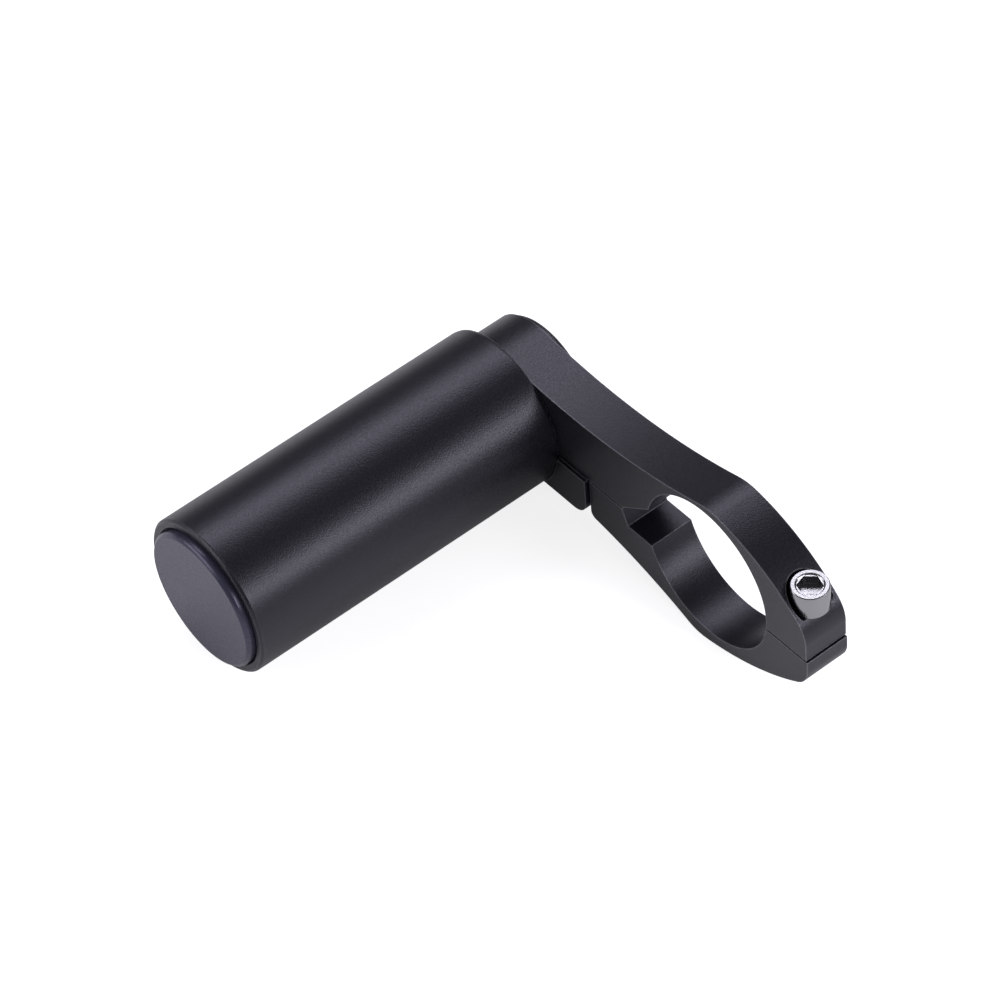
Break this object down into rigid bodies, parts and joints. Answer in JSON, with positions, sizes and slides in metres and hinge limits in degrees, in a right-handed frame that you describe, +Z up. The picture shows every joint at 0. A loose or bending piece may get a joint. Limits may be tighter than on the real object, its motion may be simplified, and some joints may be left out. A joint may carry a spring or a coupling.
{
  "type": "handlebar extender",
  "caption": "Short closed tube carried beside a bicycle handlebar on a hinged clamp arm, to give more bar for lights and other accessories.",
  "frame": {"origin": "centre of the handlebar bore, halfway along its width", "axes": "+X from the tube to the clamp bolt, +Y along the handlebar from the tube's open side to the arm's back, +Z up"},
  "size_m": [0.0986, 0.0815, 0.0363],
  "materials": {
    "black_anodised": "bead-blasted, black anodised",
    "cap_anodised": "smooth, black anodised",
    "bright_steel": "bright, polished",
    "pin_steel": "ground",
    "black_steel": "black oxide"
  },
  "bodies": {
    "holder": {"arm": "black_anodised", "hinge_pin": "pin_steel", "extension_tube": "black_anodised", "front_cap": "cap_anodised", "rear_cover": "black_anodised", "tube_screw": "black_steel"},
    "jaw": {"clamp_jaw": "black_anodised"},
    "bolt": {"clamp_bolt": "bright_steel"}
  },
  "joints": [
    {"name": "bolt_turn", "type": "hinge", "parent": "holder", "child": "bolt", "pos_m": [0.02203, 0, 0.00765], "axis": [-0.0517, 0, 0.9987], "range_deg": [0, 720]},
    {"name": "jaw_swing", "type": "hinge", "parent": "holder", "child": "jaw", "pos_m": [-0.03711, 0, -0.00853], "axis": [0, 1, 0], "range_deg": [0, 1.34]}
  ],
  "couplings": [
    {"joint": "jaw_swing", "follows": "bolt_turn", "ratio": 0.00186}
  ]
}
